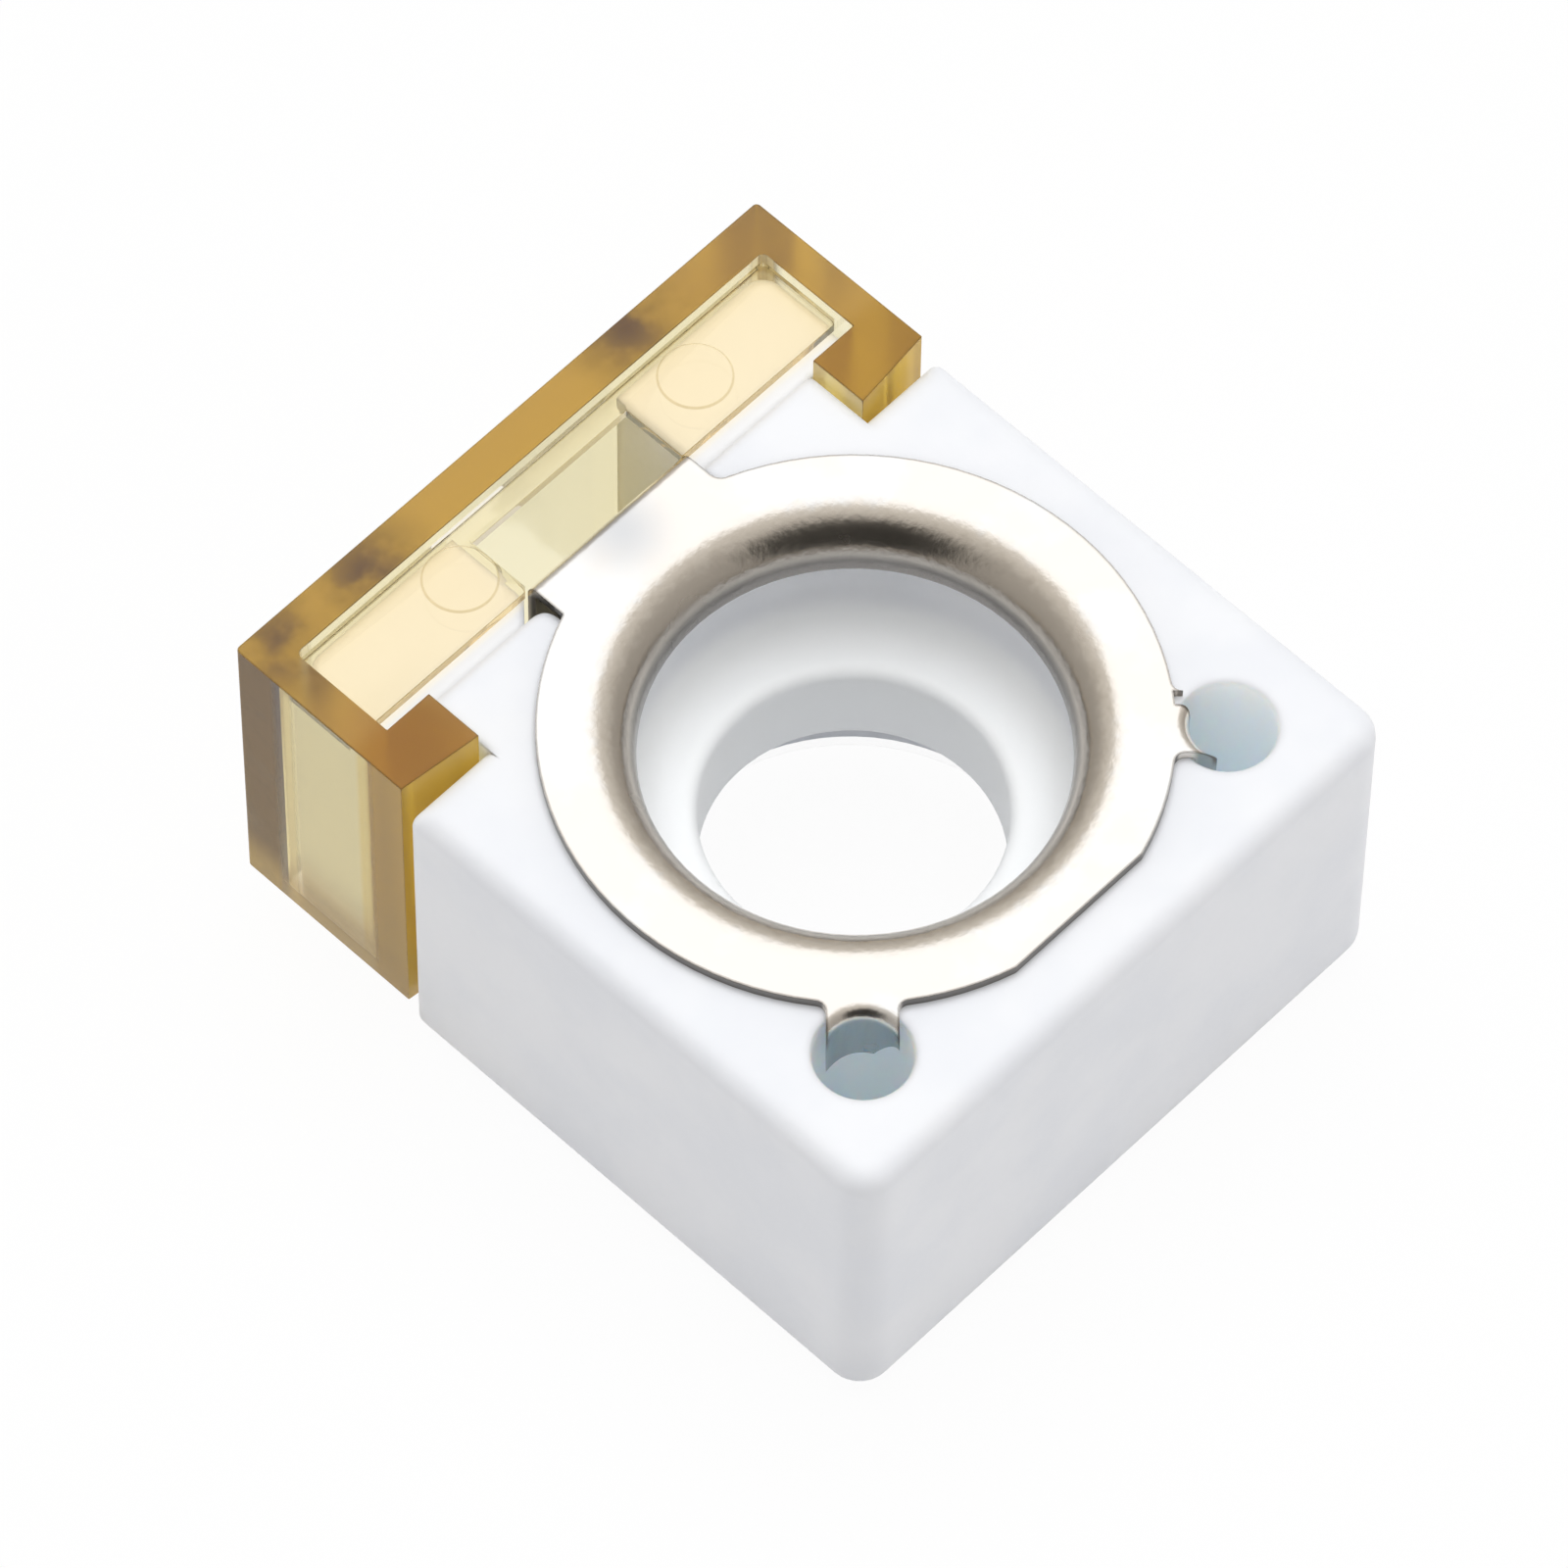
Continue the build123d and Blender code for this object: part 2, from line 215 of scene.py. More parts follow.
# Amber: its depth is a colour and a density, and a film is a colour and how much it hides
AMBER_IOR = 1.49
AMBER_SHADOW = (1.0, 0.98, 0.93, 1.0)
AMBER_FILM = (0.20, 0.115, 0.03, 1.0)
FILM_ROUGHNESS = 0.5
TOP_FADE = (-0.05 * MM, -0.01 * MM)

# Web: pale, with grey notch sides, a warm end face and the line round each mark
WEB_DEPTH = ((1.0, 0.77, 0.16, 1.0), 300.0)
WEB_ROUGHNESS = 0.03
WEB_NOTCH = (0.80, 0.72, 0.50, 1.0)
WEB_EDGE = (0.80, 0.68, 0.36, 1.0)
WEB_MARK = (0.62, 0.54, 0.36, 1.0)
NOTCH_FADE = (0.05 * MM, 0.1 * MM)
WEB_EDGE_FADE = (-0.08 * MM, -0.04 * MM)
MARK_LINE = (0.01 * MM, 0.05 * MM)
MARK_LINE_SHARE = 0.8

# Shell: tints that colour what is seen through a face
SHELL_DEPTH = ((0.868, 0.75, 0.132, 1.0), 375.0)
SMOKE_TINT = (0.10, 0.055, 0.04, 1.0)
WARM_TINT = (0.50, 0.28, 0.18, 1.0)
HOOK_TINT = (1.0, 0.82, 0.34, 1.0)
FOOT_TINT = (0.78, 0.60, 0.36, 1.0)
FOOT_SHARE = 0.8

# Shell: roughness on top, round the inside and on the hooks
TOP_ROUGHNESS = 0.4
INNER_ROUGHNESS = 0.12
HOOK_ROUGHNESS = 0.15

# Shell: films of haze on its faces, with a pale film of painted light in the inner corners and a dark
# outline of painted shade
TOP_FILM = ((0.64, 0.37, 0.12, 1.0), 0.3)
HOOK_TOP_FILM = ((0.48, 0.23, 0.04, 1.0), 0.3)
SMOKE_FILM = ((0.14, 0.09, 0.06, 1.0), 0.6)
BASE_FILM = ((0.50, 0.33, 0.09, 1.0), 0.5)
GRIP_FILM = ((0.42, 0.25, 0.02, 1.0), 0.5)
HOOK_END_FILM = ((0.80, 0.50, 0.03, 1.0), 0.45)
TIP_FILM = ((0.88, 0.76, 0.42, 1.0), 0.5)
CORNER_PAINTED_LIGHT = ((0.93, 0.85, 0.62, 1.0), 0.55)
OUTLINE_PAINTED_SHADE = ((0.13, 0.075, 0.03, 1.0), 0.75)

# Shell: smoke in the top of the rim, and a cloudy band down either end of the front wall
SMOKE_PLACES = ((5.8 * MM, -12.5 * MM), (8.9 * MM, -12.4 * MM), (-4.6 * MM, -13.0 * MM))
SMOKE_FADE = (0.0, 2.7 * MM)
SMOKE_CLOUD = (700.0, 3.0)
SMOKE_CLOUD_SPREAD = (0.3, 0.62)
SMOKE_CLOUD_SHARE = (0.4, 1.0)
BAND_FADE = (-0.05 * MM, 0.4 * MM)
BAND_SHARE = (0.6, 0.85)

# Shell: where the other finishes come or go
WARM_PLACE = (8.6 * MM, -7.6 * MM)
WARM_FADE = (1.0 * MM, 3.6 * MM)
HOOK_TOP_FADE = (-0.6 * MM, 0.2 * MM)
HOOK_SIDE_FADE = (-0.2 * MM, 0.0)
HOOK_END_FADE = (-0.6 * MM, -0.5 * MM)
TIP_FADE = (0.02 * MM, 0.06 * MM)
OUTER_FADE = (0.5 * MM, 0.6 * MM)
GRIP_FADE = (0.2 * MM, 0.5 * MM)
BASE_FADE = (-4.6 * MM, -2.6 * MM)
FOOT_FADE = (-4.4 * MM, -2.4 * MM)
CORNER_FADE = (0.35 * MM, 0.6 * MM)
INNER_LEG_FADE = (-0.01 * MM, 0.1 * MM)
INNER_WALL_FADE = (-0.1 * MM, -0.01 * MM)
OUTLINE_WIDTH = 0.08 * MM
OUTLINE_SAMPLES = 4
OUTLINE_TURN = (0.9, 0.995)
OUTLINE_FADE = (-0.2 * MM, -0.1 * MM)
WITHIN_LEG_FADE = (0.1 * MM, 0.2 * MM)
WITHIN_WALL_FADE = (-0.2 * MM, -0.1 * MM)
WITHIN_HOOK_FADE = (-0.5 * MM, -0.3 * MM)


def direction(azimuth, elevation):
    """Unit vector from the fuse towards a place around it, in degrees."""
    a = math.radians(azimuth)
    e = math.radians(elevation)
    return Vector((math.sin(a) * math.cos(e), -math.cos(a) * math.cos(e), math.sin(e)))


def place_camera():
    """Camera at the photograph's viewing angle."""
    roll = math.radians(CAMERA_ROLL)
    back = direction(CAMERA_AZIMUTH, CAMERA_ELEVATION)
    right = Vector((-back.y, back.x, 0.0)).normalized()
    up = back.cross(right)
    across = math.cos(roll) * right + math.sin(roll) * up
    upright = math.cos(roll) * up - math.sin(roll) * right
    turn = Matrix((across, upright, back)).transposed().to_4x4()
    data = bpy.data.cameras.new("camera")
    data.lens = LENS
    data.sensor_width = SENSOR
    data.clip_start = CAMERA_NEAR
    camera = bpy.data.objects.new("camera", data)
    bpy.context.collection.objects.link(camera)
    camera.matrix_world = Matrix.Translation(CAMERA_TARGET + back * CAMERA_DISTANCE) @ turn
    bpy.context.scene.camera = camera


class Shader:
    """Short way to add and join the nodes of one material or world."""

    def __init__(self, owner):
        owner.use_nodes = True
        self.tree = owner.node_tree
        self.tree.nodes.clear()

    def add(self, kind, settings=None, **inputs):
        """Node with its settings and inputs. An input is named, or numbered as i0, i1 and so on."""
        made = self.tree.nodes.new("ShaderNode" + kind)
        for name, value in (settings or {}).items():
            setattr(made, name, value)
        for name, value in inputs.items():
            self.put(made, name.replace("_", " "), value)
        return made

    def put(self, made, name, value):
        """Sets one input of a node to a value, or joins it to a node or socket."""
        numbered = name[:1] == "i" and name[1:].isdigit()
        socket = made.inputs[int(name[1:]) if numbered else name]
        if isinstance(value, bpy.types.Node):
            value = value.outputs[0]
        if isinstance(value, bpy.types.NodeSocket):
            self.tree.links.new(value, socket)
        else:
            socket.default_value = value

    def math(self, operation, a, b=0.0):
        return self.add("Math", {"operation": operation}, i0=a, i1=b)

    def size(self, value):
        """Value without its sign."""
        return self.math("ABSOLUTE", value)

    def rest(self, mask):
        """Mask that holds where another does not."""
        return self.math("SUBTRACT", 1.0, mask)

    def times(self, value, *others):
        """Product of masks and shares: a mask that holds where all of them do."""
        for other in others:
            value = self.math("MULTIPLY", value, other)
        return value

    def most(self, value, *others):
        """Largest of some values: a mask that holds where any of them does."""
        for other in others:
            value = self.math("MAXIMUM", value, other)
        return value

    def span(self, value, low, high, first=0.0, last=1.0):
        """Value carried smoothly from one range to another."""
        made = self.add("MapRange", {"interpolation_type": "SMOOTHSTEP"}, Value=value)
        self.put(made, "From Min", low)
        self.put(made, "From Max", high)
        self.put(made, "To Min", first)
        self.put(made, "To Max", last)
        return made

    def come(self, value, place, fade):
        """Mask that comes from nothing to all over a fade past a place."""
        return self.span(value, place + fade[0], place + fade[1])

    def go(self, value, place, fade, share=1.0):
        """Mask that goes from its share to nothing over a fade past a place."""
        return self.span(value, place + fade[0], place + fade[1], share, 0.0)

    def noise(self, where, scale, detail):
        return self.add("TexNoise", None, Vector=where, Scale=scale, Detail=detail)

    def bump(self, height, setting, **normal):
        """Relief from a height, over the face's own normal or a given one."""
        strength, distance = setting
        return self.add("Bump", None, Height=height, Strength=strength, Distance=distance, **normal)

    def mix(self, factor, a, b):
        """Colour between two others."""
        made = self.add("Mix", {"data_type": "RGBA"})
        self.put(made, "i0", factor)
        self.put(made, "i6", a)
        self.put(made, "i7", b)
        return made.outputs[2]

    def paint(self, colour, *coats):
        """Colour under coats (mask, colour), laid one after another."""
        for mask, coat in coats:
            colour = self.mix(mask, colour, coat)
        return colour

    def dot(self, a, b):
        made = self.add("VectorMath", {"operation": "DOT_PRODUCT"}, i0=a, i1=b)
        return made.outputs["Value"]

    def away(self, x, y, place):
        """Distance in plan from a place (x, y)."""
        here = self.add("CombineXYZ", None, X=x, Y=y)
        made = self.add("VectorMath", {"operation": "DISTANCE"}, i0=here, i1=(*place, 0.0))
        return made.outputs["Value"]


class Surface:
    """Where a point of a piece lies and which way its face looks."""

    def __init__(self, shader):
        self.shader = shader
        self.point = shader.add("TexCoord").outputs["Object"]
        parts = shader.add("SeparateXYZ", None, i0=self.point).outputs
        self.x = parts["X"]
        self.y = parts["Y"]
        self.z = parts["Z"]
        self.beside = shader.size(self.x)
        self.normal = shader.add("NewGeometry").outputs["Normal"]
        self.up = shader.dot(self.normal, UP)

    def flat(self):
        """Mask of the faces that look up."""
        return self.shader.span(self.up, *FACING)

    def along(self, axis):
        """Mask of the faces that look one way or the other along an axis."""
        return self.shader.span(self.shader.size(self.shader.dot(self.normal, axis)), *FACING)

    def from_hole(self):
        """Distance in plan from the axis of the nearer prong hole."""
        return self.shader.away(self.beside, self.y, (HOLE_PLACE, HOLE_PLACE))

    def turned_edge(self, samples, width, fade, share=1.0):
        """Mask of a line along the edges, where the rounded normal turns from the face's own."""
        soft = self.shader.add("Bevel", {"samples": samples}, Radius=width)
        return self.shader.go(self.shader.dot(soft, self.normal), 0.0, fade, share)


def material(name):
    """New material, and the shader that builds it."""
    made = bpy.data.materials.new(name)
    return made, Shader(made)


def dress(node, finish):
    """Gives a solid its finish."""
    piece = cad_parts[node]
    piece.data.materials.clear()
    piece.data.materials.append(finish)


# Surroundings

def light_world():
    """Soft studio: a bright patch opposite the camera, dim all round, dark by the camera."""
    world = bpy.data.worlds.new("studio")
    bpy.context.scene.world = world
    sky = Shader(world)
    way = sky.add("TexCoord").outputs["Generated"]
    rise = sky.span(sky.dot(way, UP), 0.0, 1.0, *SKY_STRENGTH)
    opposite = sky.dot(way, direction(CAMERA_AZIMUTH + HALF_TURN, CAMERA_ELEVATION))
    glow = sky.span(opposite, *GLOW_REACH, 0.0, GLOW_STRENGTH)
    skirt = sky.span(opposite, *SKIRT_REACH, 0.0, SKIRT_STRENGTH)
    beside = sky.dot(way, direction(CAMERA_AZIMUTH, DARK_ELEVATION))
    dim = sky.span(beside, *DARK_REACH, 1.0, DARK_SHARE)
    bright = sky.math("ADD", sky.math("ADD", rise, skirt), glow)
    hue = sky.mix(glow, SKY_COLOUR, GLOW_COLOUR)
    light = sky.add("Background", Color=hue, Strength=sky.times(bright, dim))
    sky.add("OutputWorld", Surface=light)


def lay_floor():
    """Pale floor that shows as white paper with the soft shadow of the fuse."""
    level = cad_box[0][2]
    mesh = bpy.data.meshes.new("floor")
    corners = ((-1, -1), (1, -1), (1, 1), (-1, 1))
    mesh.from_pydata([(x * FLOOR_HALF, y * FLOOR_HALF, level) for x, y in corners], [], [(0, 1, 2, 3)])
    floor = bpy.data.objects.new("floor", mesh)
    bpy.context.collection.objects.link(floor)
    paper, shader = material("paper")
    ray = shader.add("LightPath").outputs
    seen = shader.most(ray["Is Camera Ray"], ray["Is Glossy Ray"], ray["Is Transmission Ray"])
    matt = shader.add("BsdfDiffuse", Color=FLOOR_COLOUR)
    white = shader.add("Emission", Color=WHITE, Strength=1.0)
    share = shader.times(seen, WHITE_SHARE)
    shader.add("OutputMaterial", Surface=shader.add("MixShader", None, i0=share, i1=matt, i2=white))
    mesh.materials.append(paper)


def add_lamp(name, azimuth, elevation, size, power):
    """Large soft lamp that faces the fuse from one direction."""
    way = direction(azimuth, elevation)
    data = bpy.data.lights.new(name, "AREA")
    data.shape = "DISK"
    data.size = size
    data.energy = power
    lamp = bpy.data.objects.new(name, data)
    bpy.context.collection.objects.link(lamp)
    lamp.location = way * LAMP_DISTANCE
    lamp.rotation_euler = way.to_track_quat("Z", "Y").to_euler()
    lamp.visible_glossy = False
    lamp.visible_transmission = False


# Ceramic and tinned sheet

def ceramic_finish():
    """Unglazed pressed ceramic: cool white, satin, with a fine grain, and painted light in the prong
    holes, in the recess and on the shoulder under the web.
    """
    made, shader = material("ceramic")
    here = Surface(shader)
    cloud = shader.noise(here.point, *CERAMIC_CLOUD)
    grain = shader.noise(here.point, *CERAMIC_GRAIN)
    swell = shader.noise(here.point, *CERAMIC_SWELL)
    hole = shader.go(here.from_hole(), HOLE_RADIUS, HOLE_WALL_FADE)
    shoulder = shader.times(shader.go(here.y, SHOULDER_START, SHOULDER_FADE), here.flat())
    recess = shader.go(shader.away(here.x, here.y, CENTRE), RECESS_RADIUS, RECESS_FADE)
    colour = shader.mix(shader.span(cloud, *CERAMIC_CLOUD_SPREAD), CERAMIC_DIM, CERAMIC_BRIGHT)
    # Painted light: the prong holes and the recess are lighter and bluer than the block, and the
    # shoulder under the web is lighter
    coats = ((hole, CERAMIC_HOLE_PAINTED_LIGHT), (shoulder, CERAMIC_SHOULDER_PAINTED_LIGHT), (recess, CERAMIC_RECESS_PAINTED_LIGHT))
    colour = shader.paint(colour, *coats)
    rough = shader.span(grain, *NOISE_SPREAD, *CERAMIC_ROUGHNESS)
    soft = shader.add("Bevel", {"samples": EDGE_SAMPLES}, Radius=CERAMIC_EDGE)
    swollen = shader.bump(swell, CERAMIC_SWELL_BUMP, Normal=soft)
    normal = shader.bump(grain, CERAMIC_GRAIN_BUMP, Normal=swollen)
    body = shader.add("BsdfPrincipled", None, Base_Color=colour, Roughness=rough, Normal=normal)
    shader.put(body, "IOR", CERAMIC_IOR)
    shader.put(body, "Subsurface Weight", hole)
    shader.put(body, "Subsurface Radius", SOAK_RADII)
    shader.put(body, "Subsurface Scale", SOAK_DEPTH)
    shader.add("OutputMaterial", Surface=body)
    return made


def lip_wear_and_shade_coats(shader, here):
    """Rolled lip: two warm coats whose outer limits wander, partly wear and partly painted shade where
    the roll turns down.
    """
    wander = shader.math("SUBTRACT", shader.noise(here.point, *LIP_WANDER), NOISE_MIDDLE)
    wander = shader.times(wander, LIP_WANDER_WIDTH)
    radius = shader.math("ADD", shader.away(here.x, here.y, CENTRE), wander)
    return (
        (shader.go(radius, LIP_START, LIP_FADE), TIN_LIP_WEAR_AND_SHADE),
        (shader.go(radius, LIP_START, DEEP_LIP_FADE), TIN_DEEP_LIP_WEAR_AND_SHADE),
    )


def cut_coats(shader, here):
    """Dark cut faces with painted shade on the lip's wall, prongs with painted shade and reflection,
    and the dark line along the edges of the upper ring.
    """
    hole = here.from_hole()
    steep = shader.go(shader.size(here.up), 0.0, STEEP)
    # Cut faces' own dark, and painted shade: every steep face of the upper ring, the lip's wall among
    # them, is darkened
    wall = shader.times(
        steep,
        shader.come(here.z, 0.0, WALL_FADE),
        shader.come(here.y, STRAP_FRONT, WALL_STRAP_FADE),
        shader.come(hole, HOLE_RADIUS, WALL_HOLE_FADE),
    )
    # Painted shade and reflection: the prongs in the holes take a dark grey-blue colour
    prong_painted_shade = shader.times(shader.go(hole, HOLE_RADIUS, PRONG_FADE), steep)
    edge = here.turned_edge(EDGE_SAMPLES, TIN_EDGE_WIDTH, TIN_EDGE_TURN, TIN_EDGE_SHARE)
    edge = shader.times(edge, shader.come(here.z, 0.0, TIN_EDGE_FADE))
    return (wall, TIN_CUT_FACE_AND_SHADE), (prong_painted_shade, TIN_PRONG_PAINTED_SHADE), (edge, TIN_EDGE)


def tin_finish():
    """Tin-plated sheet: bright, warm, with faint clouds and fine drawing marks."""
    made, shader = material("tinned_sheet")
    here = Surface(shader)
    cloud = shader.noise(here.point, *TIN_CLOUD)
    grain = shader.noise(here.point, *TIN_GRAIN)
    dents = shader.noise(here.point, *TIN_DENTS)
    tab_grey = shader.go(shader.away(here.x, here.y, TAB_GREY_PLACE), 0.0, TAB_GREY_FADE)
    # Painted light: the lower half of the sheet is white metal, so that the lower lip seen in the bore
    # stays light
    lower_half_painted_light = shader.go(here.z, 0.0, LOWER_HALF_FADE)
    colour = shader.mix(shader.span(cloud, *TIN_CLOUD_SPREAD), TIN_WARM, TIN_PALE)
    colour = shader.paint(colour, (tab_grey, TIN_TAB_GREY), *lip_wear_and_shade_coats(shader, here))
    colour = shader.paint(colour, (lower_half_painted_light, WHITE), *cut_coats(shader, here))
    rough = shader.span(cloud, *NOISE_SPREAD, *TIN_ROUGHNESS)
    normal = shader.bump(grain, TIN_GRAIN_BUMP, Normal=shader.bump(dents, TIN_DENT_BUMP))
    body = shader.add("BsdfPrincipled", None, Base_Color=colour, Roughness=rough, Normal=normal)
    shader.put(body, "Metallic", 1.0)
    shader.add("OutputMaterial", Surface=body)
    return made


# Amber

def web_looks(shader, here):
    """Tint, film and roughness of the pale web."""
    upright = shader.rest(here.flat())
    notch = shader.times(shader.go(here.beside, NOTCH_HALF, NOTCH_FADE), upright)
    edge = shader.times(shader.come(here.y, WEB_END, WEB_EDGE_FADE), upright)
    on_top = shader.come(here.z, WEB_TOP, TOP_FADE)
    tint = shader.paint(WHITE, (notch, WEB_NOTCH), (edge, WEB_EDGE))
    for place in MARK_PLACES:
        radius = shader.away(here.x, here.y, (place, WALL_INNER + MARK_INSET))
        off_line = shader.size(shader.math("SUBTRACT", radius, MARK_RADIUS))
        line = shader.times(shader.go(off_line, 0.0, MARK_LINE, MARK_LINE_SHARE), on_top)
        tint = shader.mix(line, tint, WEB_MARK)
    return tint, AMBER_FILM, 0.0, WEB_ROUGHNESS


def smoke_masks(shader, here, on_top):
    """Smoky patches in the top of the rim, and the band down either end of the front wall."""
    cloud = shader.noise(here.point, *SMOKE_CLOUD)
    cloud = shader.span(cloud, *SMOKE_CLOUD_SPREAD, *SMOKE_CLOUD_SHARE)
    patches = [
        shader.go(shader.away(here.x, here.y, place), 0.0, SMOKE_FADE) for place in SMOKE_PLACES
    ]
    smoke = shader.times(shader.most(*patches), cloud, on_top)
    band = shader.times(shader.go(here.y, WALL_INNER, BAND_FADE), here.along(ALONG_X))
    band = shader.times(band, shader.span(cloud, 0.0, 1.0, *BAND_SHARE))
    return smoke, band


def painted_outline_mask(shader, here):
    """Thin dark line of painted shade along the upper edges, in place of the shade that refraction
    gives there, except round the inside of the rim.
    """
    line = here.turned_edge(OUTLINE_SAMPLES, OUTLINE_WIDTH, OUTLINE_TURN)
    near_top = shader.come(here.z, WINDOW_HIGH.z, OUTLINE_FADE)
    within = shader.times(
        shader.go(here.beside, LEG_INNER, WITHIN_LEG_FADE),
        shader.come(here.y, WALL_INNER, WITHIN_WALL_FADE),
        shader.go(here.y, HOOK_START, WITHIN_HOOK_FADE),
    )
    return shader.times(line, near_top, shader.rest(within))


def shell_films(shader, here, smoke, on_top):
    """Films on the shell, each with its mask, from the lowest to the uppermost: haze, a pale film of
    painted light in the inner corners, and the outline of painted shade.
    """
    side = here.along(ALONG_X)
    outer = shader.times(shader.come(here.beside, LEG_INNER, OUTER_FADE), side)
    hook_top = shader.times(shader.come(here.y, HOOK_START, HOOK_TOP_FADE), on_top)
    base = shader.times(outer, shader.go(here.z, 0.0, BASE_FADE))
    grip = shader.times(outer, shader.come(here.y, HOOK_START, GRIP_FADE))
    hook_end = shader.come(here.y, WINDOW_HIGH.y, HOOK_END_FADE)
    hook_end = shader.times(hook_end, here.along(ALONG_Y))
    tip = shader.times(shader.go(here.beside, HOOK_TIP, TIP_FADE), side)
    tip = shader.times(tip, shader.come(here.y, HOOK_START, HOOK_SIDE_FADE))
    # Painted light: a pale film in the inner corners, in place of the light that a rounder corner lets
    # through
    corner = shader.away(here.beside, here.y, (LEG_INNER, WALL_INNER))
    corner = shader.times(shader.go(corner, 0.0, CORNER_FADE), shader.rest(here.flat()))
    return (
        (on_top, TOP_FILM),
        (hook_top, HOOK_TOP_FILM),
        (smoke, SMOKE_FILM),
        (base, BASE_FILM),
        (grip, GRIP_FILM),
        (hook_end, HOOK_END_FILM),
        (tip, TIP_FILM),
        (corner, CORNER_PAINTED_LIGHT),
        (painted_outline_mask(shader, here), OUTLINE_PAINTED_SHADE),
    )


def shell_roughness(shader, here, hook_side):
    """Roughness of the shell: satin on top, a little on the hooks and round the inside."""
    inner = shader.go(here.beside, LEG_INNER, INNER_LEG_FADE)
    inner = shader.times(inner, shader.come(here.y, WALL_INNER, INNER_WALL_FADE))
    return shader.most(
        shader.times(here.flat(), TOP_ROUGHNESS),
        shader.times(inner, INNER_ROUGHNESS),
        shader.times(hook_side, HOOK_ROUGHNESS),
    )


def shell_looks(shader, here):
    """Tint, film and roughness of the deep amber shell, face by face."""
    on_top = shader.come(here.z, WINDOW_HIGH.z, TOP_FADE)
    smoke, band = smoke_masks(shader, here, on_top)
    warm = shader.times(shader.go(shader.away(here.x, here.y, WARM_PLACE), 0.0, WARM_FADE), on_top)
    hook_side = shader.come(here.y, HOOK_START, HOOK_SIDE_FADE)
    hook_side = shader.times(hook_side, shader.rest(here.flat()))
    foot = shader.times(shader.go(here.z, 0.0, FOOT_FADE, FOOT_SHARE), here.along(ALONG_X))
    tints = ((smoke, SMOKE_TINT), (warm, WARM_TINT), (hook_side, HOOK_TINT), (foot, FOOT_TINT))
    film = AMBER_FILM
    haze = band
    for mask, (colour, share) in shell_films(shader, here, smoke, on_top):
        film = shader.mix(mask, film, colour)
        haze = shader.most(haze, shader.times(mask, share))
    return shader.paint(WHITE, *tints), film, haze, shell_roughness(shader, here, hook_side)


def amber_finish(name, looks, depth):
    """Clear amber moulding that darkens with the depth of plastic looked through."""
    made, shader = material(name)
    tint, film, haze, rough = looks(shader, Surface(shader))
    glass = shader.add("BsdfPrincipled", None, Base_Color=tint, Roughness=rough, IOR=AMBER_IOR)
    shader.put(glass, "Transmission Weight", 1.0)
    matt = shader.add("BsdfPrincipled", None, Base_Color=film, Roughness=FILM_ROUGHNESS)
    body = shader.add("MixShader", None, i0=haze, i1=glass, i2=matt)
    clear = shader.add("BsdfTransparent", Color=AMBER_SHADOW)
    path = shader.add("LightPath").outputs
    ray = shader.most(path["Is Shadow Ray"], path["Is Diffuse Ray"])
    surface = shader.add("MixShader", None, i0=ray, i1=body, i2=clear)
    colour, density = depth
    inside = shader.add("VolumeAbsorption", Color=colour, Density=density)
    shader.add("OutputMaterial", Surface=surface, Volume=inside)
    return made


# Window

def rounded(corners):
    """Outline whose corners (x, y, radius) are turned into arcs where they have a radius."""
    outline = []
    for i, (x, y, radius) in enumerate(corners):
        here = Vector((x, y))
        if not radius:
            outline.append(here)
            continue
        to_last = (Vector(corners[i - 1][:2]) - here).normalized()
        to_next = (Vector(corners[(i + 1) % len(corners)][:2]) - here).normalized()
        centre = here + (to_last + to_next) * radius
        for step in range(CORNER_STEPS + 1):
            turn = math.pi / 2 * step / CORNER_STEPS
            outline.append(centre - radius * (to_next * math.cos(turn) + to_last * math.sin(turn)))
    return outline


def circle(x, y, radius):
    """Round outline about a place."""
    turns = [math.tau * i / MARK_STEPS for i in range(MARK_STEPS)]
    return [Vector((x + radius * math.cos(t), y + radius * math.sin(t))) for t in turns]


def plate(form, outline, low, high, slot):
    """Closed prism over an outline, added to a mesh that is being built."""
    top = [form.verts.new((p.x, p.y, high)) for p in outline]
    bottom = [form.verts.new((p.x, p.y, low)) for p in outline]
    faces = [form.faces.new(top), form.faces.new(bottom[::-1])]
    for i in range(len(outline)):
        faces.append(form.faces.new((top[i - 1], bottom[i - 1], bottom[i], top[i])))
    for face in faces:
        face.material_index = slot


def new_object(name, form):
    """Object made from a built mesh."""
    bmesh.ops.recalc_face_normals(form, faces=form.faces)
    mesh = bpy.data.meshes.new(name)
    form.to_mesh(mesh)
    form.free()
    made = bpy.data.objects.new(name, mesh)
    bpy.context.collection.objects.link(made)
    return made


def shell_outline():
    """C-shaped section of the window, open towards the block."""
    outer = WINDOW_HIGH.x
    front = WINDOW_LOW.y
    half = [
        (outer, WINDOW_HIGH.y - HOOK_SLANT, 0.0),
        (HOOK_TIP, WINDOW_HIGH.y, 0.0),
        (HOOK_TIP, HOOK_START, 0.0),
        (LEG_INNER, HOOK_START, 0.0),
        (LEG_INNER, WALL_INNER, INNER_CORNER),
    ]
    other = [(-x, y, radius) for x, y, radius in half[::-1]]
    return rounded(half + other + [(-outer, front, OUTER_CORNER), (outer, front, OUTER_CORNER)])


def web_outline():
    """Thin plate across the top of the window, notched for the strap."""
    half = LEG_INNER - WEB_GAP
    rear = WALL_INNER + WEB_GAP
    notch = WEB_END - NOTCH_DEPTH
    return rounded([
        (-half, rear, INNER_CORNER), (half, rear, INNER_CORNER), (half, WEB_END, 0.0),
        (NOTCH_HALF, WEB_END, 0.0), (NOTCH_HALF, notch, 0.0), (-NOTCH_HALF, notch, 0.0),
        (-NOTCH_HALF, WEB_END, 0.0), (-half, WEB_END, 0.0),
    ])


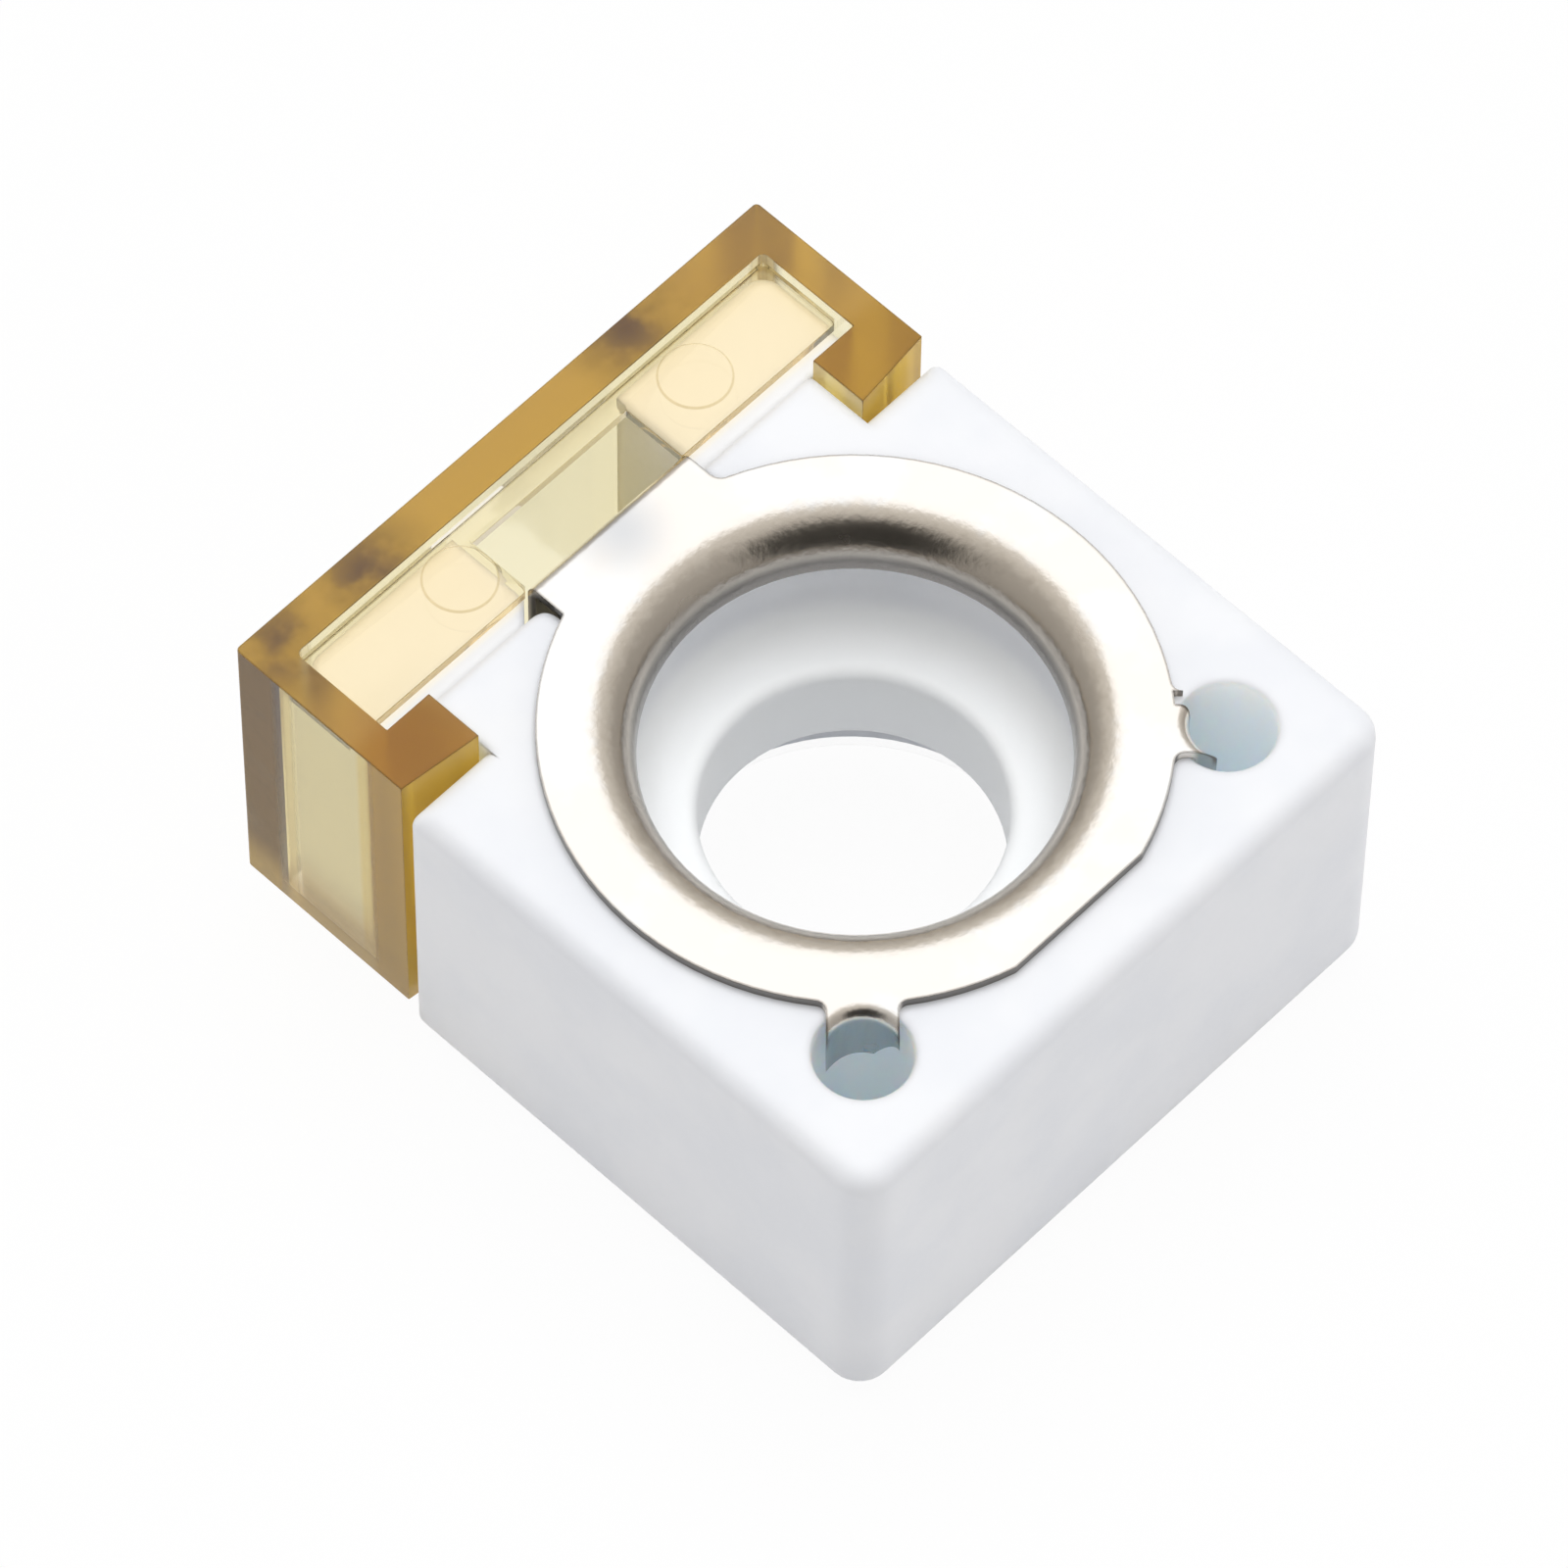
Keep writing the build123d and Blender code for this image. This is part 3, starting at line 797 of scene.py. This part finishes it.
def union(piece, other):
    """Joins a second closed mesh into a piece."""
    join = piece.modifiers.new("join", "BOOLEAN")
    join.operation = "UNION"
    join.solver = "EXACT"
    join.object = other
    settled = piece.evaluated_get(bpy.context.evaluated_depsgraph_get())
    mesh = bpy.data.meshes.new_from_object(settled)
    piece.modifiers.clear()
    piece.data = mesh
    bpy.data.objects.remove(other)


def web_piece(slot):
    """Web with its round moulding marks, which stand a little above it."""
    form = bmesh.new()
    plate(form, web_outline(), WEB_TOP - WEB_THICKNESS + WEB_GAP, WEB_TOP, slot)
    web = new_object("web", form)
    for place in MARK_PLACES:
        form = bmesh.new()
        spot = circle(place, WALL_INNER + MARK_INSET, MARK_RADIUS)
        plate(form, spot, WEB_TOP - WEB_THICKNESS / 2, WEB_TOP + MARK_HEIGHT, slot)
        union(web, new_object("mark", form))
    return web


def break_edges(form, slot):
    """Small bevel along the sharp edges of the faces in one material slot."""
    edges = [
        edge for edge in form.edges
        if edge.calc_face_angle(0.0) > SHARP and edge.link_faces[0].material_index == slot
    ]
    bmesh.ops.bevel(
        form, geom=edges, offset=EDGE_BREAK, segments=BREAK_SEGMENTS, profile=BREAK_PROFILE,
        affect="EDGES", clamp_overlap=True,
    )


def window_piece():
    """Amber window: the shell, and the web as a body of its own so that light turns at its ends."""
    finishes = (
        amber_finish("amber_shell", shell_looks, SHELL_DEPTH),
        amber_finish("amber_web", web_looks, WEB_DEPTH),
    )
    shell_slot, web_slot = range(len(finishes))
    web = web_piece(web_slot)
    form = bmesh.new()
    plate(form, shell_outline(), WINDOW_LOW.z, WINDOW_HIGH.z, shell_slot)
    bmesh.ops.recalc_face_normals(form, faces=form.faces)
    form.from_mesh(web.data)
    bpy.data.objects.remove(web)
    break_edges(form, shell_slot)
    piece = new_object("window", form)
    piece.data.shade_smooth()
    weights = piece.modifiers.new("normals", "WEIGHTED_NORMAL")
    weights.keep_sharp = False
    for finish in finishes:
        piece.data.materials.append(finish)
    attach(piece, "root")
    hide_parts("window_cover")


place_camera()
light_world()
lay_floor()
for name, setting in LAMPS.items():
    add_lamp(name, *setting)
dress("ceramic_body", ceramic_finish())
dress("fuse_strip", tin_finish())
window_piece()

bpy.context.scene.view_settings.view_transform = "Standard"
